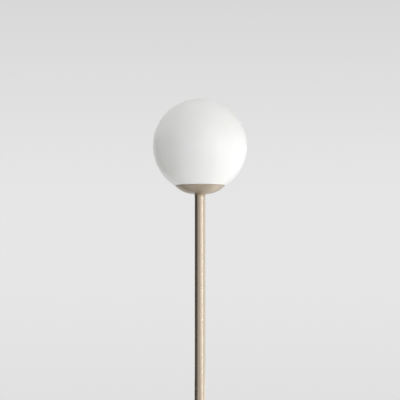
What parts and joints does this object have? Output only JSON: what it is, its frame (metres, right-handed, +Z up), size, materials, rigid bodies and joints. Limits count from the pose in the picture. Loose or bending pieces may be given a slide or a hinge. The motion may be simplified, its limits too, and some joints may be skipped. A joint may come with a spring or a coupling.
{
  "type": "globe floor lamp",
  "caption": "Floor lamp: an opal glass ball held in a shallow metal cup on a slim straight pole with a round weighted foot.",
  "frame": {"origin": "on the floor, on the axis of the pole", "axes": "+Z up along the pole, -Y the front, +Y the back where the cord comes in"},
  "size_m": [0.29, 0.29, 1.5],
  "materials": {
    "sand_lacquer": "satin powder coat",
    "opal_glass": "matt etched, opaque white",
    "cast_iron": "rough cast",
    "black_steel": "matt",
    "zinc_steel": "zinc plated",
    "spring_steel": "satin",
    "floor_foam": "matt",
    "clear_silicone": "satin",
    "black_plastic": "matt",
    "white_plastic": "matt",
    "bulb_white": "frosted",
    "white_ceramic": "glazed",
    "brass": "satin",
    "nickel_cap": "satin",
    "dark_glass": "glossy, opaque",
    "solder": "satin",
    "board_white": "matt",
    "board_green": "satin",
    "brown_sleeve": "satin",
    "blue_sleeve": "satin",
    "green_sleeve": "satin"
  },
  "bodies": {
    "stand": {"floor_pad": "floor_foam", "bottom_plate": "black_steel", "plate_screws": "zinc_steel", "base_weight": "cast_iron", "base_cover": "sand_lacquer", "cord_bush": "black_plastic", "cord_clamp": "black_plastic", "clamp_screws": "zinc_steel", "terminal_block": "white_plastic", "terminal_screws": "brass", "block_screw": "zinc_steel", "earth_lug": "brass", "earth_screw": "zinc_steel", "foot_washer": "zinc_steel", "foot_lock_washer": "zinc_steel", "foot_nut": "zinc_steel", "foot_nipple": "zinc_steel", "foot_plug": "zinc_steel", "lower_pole": "sand_lacquer", "upper_pole": "sand_lacquer", "pole_socket": "zinc_steel", "pole_stud": "zinc_steel", "head_plug": "zinc_steel", "head_nipple": "zinc_steel", "neck_collar": "sand_lacquer", "lamp_cup": "sand_lacquer", "seat_ring": "clear_silicone", "spacer_washer": "zinc_steel", "gallery_plate": "zinc_steel", "spring_clips": "spring_steel", "clip_rivets": "zinc_steel", "head_lock_washer": "zinc_steel", "head_nut": "zinc_steel", "lampholder_cap": "black_plastic", "lampholder_body": "black_plastic", "contact_carrier": "white_ceramic", "holder_screws": "brass", "screw_shell": "brass", "centre_contact": "brass", "live_lead": "brown_sleeve", "neutral_lead": "blue_sleeve", "earth_lead": "green_sleeve"},
    "globe": {"glass_globe": "opal_glass"},
    "bulb_rise_carrier": {"bulb_tip": "solder", "bulb_insulator": "dark_glass"},
    "bulb": {"bulb_cap": "nickel_cap", "bulb_collar": "white_plastic", "led_board": "board_white", "driver_board": "board_green", "bulb_dome": "bulb_white"}
  },
  "joints": [
    {"name": "globe_lift", "type": "slide", "parent": "stand", "child": "globe", "axis": [0, 0, 1], "range_m": [0, 0.15]},
    {"name": "bulb_rise", "type": "slide", "parent": "stand", "child": "bulb_rise_carrier", "axis": [0, 0, 1], "range_m": [0, 0.0291]},
    {"name": "bulb_turn", "type": "hinge", "parent": "bulb_rise_carrier", "child": "bulb", "pos_m": [0, 0, 1.36], "axis": [0, 0, 1], "range_deg": [0, 2880]}
  ],
  "couplings": [
    {"joint": "bulb_rise", "follows": "bulb_turn", "m_per_rad": 0.00057757}
  ]
}
